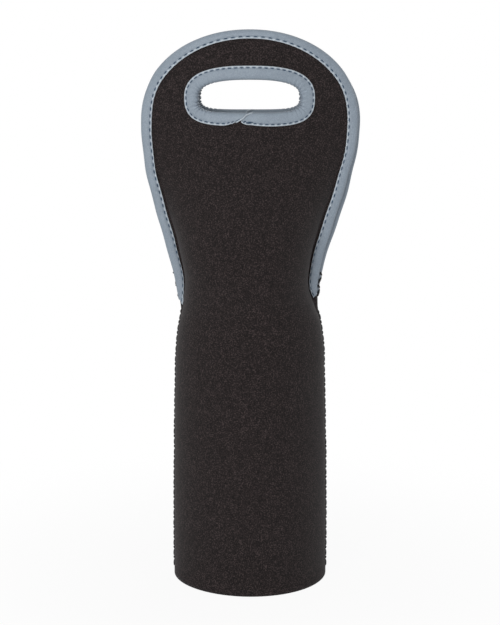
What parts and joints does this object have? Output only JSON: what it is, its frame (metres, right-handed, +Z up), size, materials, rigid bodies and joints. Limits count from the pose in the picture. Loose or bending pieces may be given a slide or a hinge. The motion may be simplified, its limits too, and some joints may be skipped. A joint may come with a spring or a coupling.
{
  "type": "bottle carrier",
  "caption": "Soft foam carrier for a single bottle: a round pouch with a flat base and a pair of handle flaps with oval grip openings, bound in tape.",
  "frame": {"origin": "on the floor under the middle of the base", "axes": "+Z up the bottle, the front panel faces -Y, +X to the right as seen from the front"},
  "size_m": [0.128, 0.0896, 0.33],
  "materials": {
    "neoprene": "matt knit face on foam",
    "binding": "matt woven tape",
    "thread": "sewing thread",
    "seam_thread": "sewing thread"
  },
  "bodies": {
    "pouch": {"front_pouch_panel": "neoprene", "back_pouch_panel": "neoprene", "base_disc": "neoprene", "base_seam": "seam_thread", "left_side_seam": "seam_thread", "right_side_seam": "seam_thread", "left_mouth_tack": "seam_thread", "right_mouth_tack": "seam_thread", "front_binding_tails": "binding", "back_binding_tails": "binding"},
    "front_flap": {"front_handle_flap": "neoprene", "front_edge_binding": "binding", "front_grip_binding": "binding", "front_edge_stitching": "thread", "front_grip_stitching": "thread"},
    "back_flap": {"back_handle_flap": "neoprene", "back_edge_binding": "binding", "back_grip_binding": "binding", "back_edge_stitching": "thread", "back_grip_stitching": "thread"}
  },
  "joints": [
    {"name": "front_flap_open", "type": "hinge", "parent": "pouch", "child": "front_flap", "pos_m": [0, -0.0448, 0.191], "axis": [1, 0, 0], "range_deg": [0, 35], "stiffness_Nm_per_rad": 0.05},
    {"name": "back_flap_open", "type": "hinge", "parent": "pouch", "child": "back_flap", "pos_m": [0, 0.0448, 0.191], "axis": [-1, 0, 0], "range_deg": [0, 35], "stiffness_Nm_per_rad": 0.05}
  ]
}
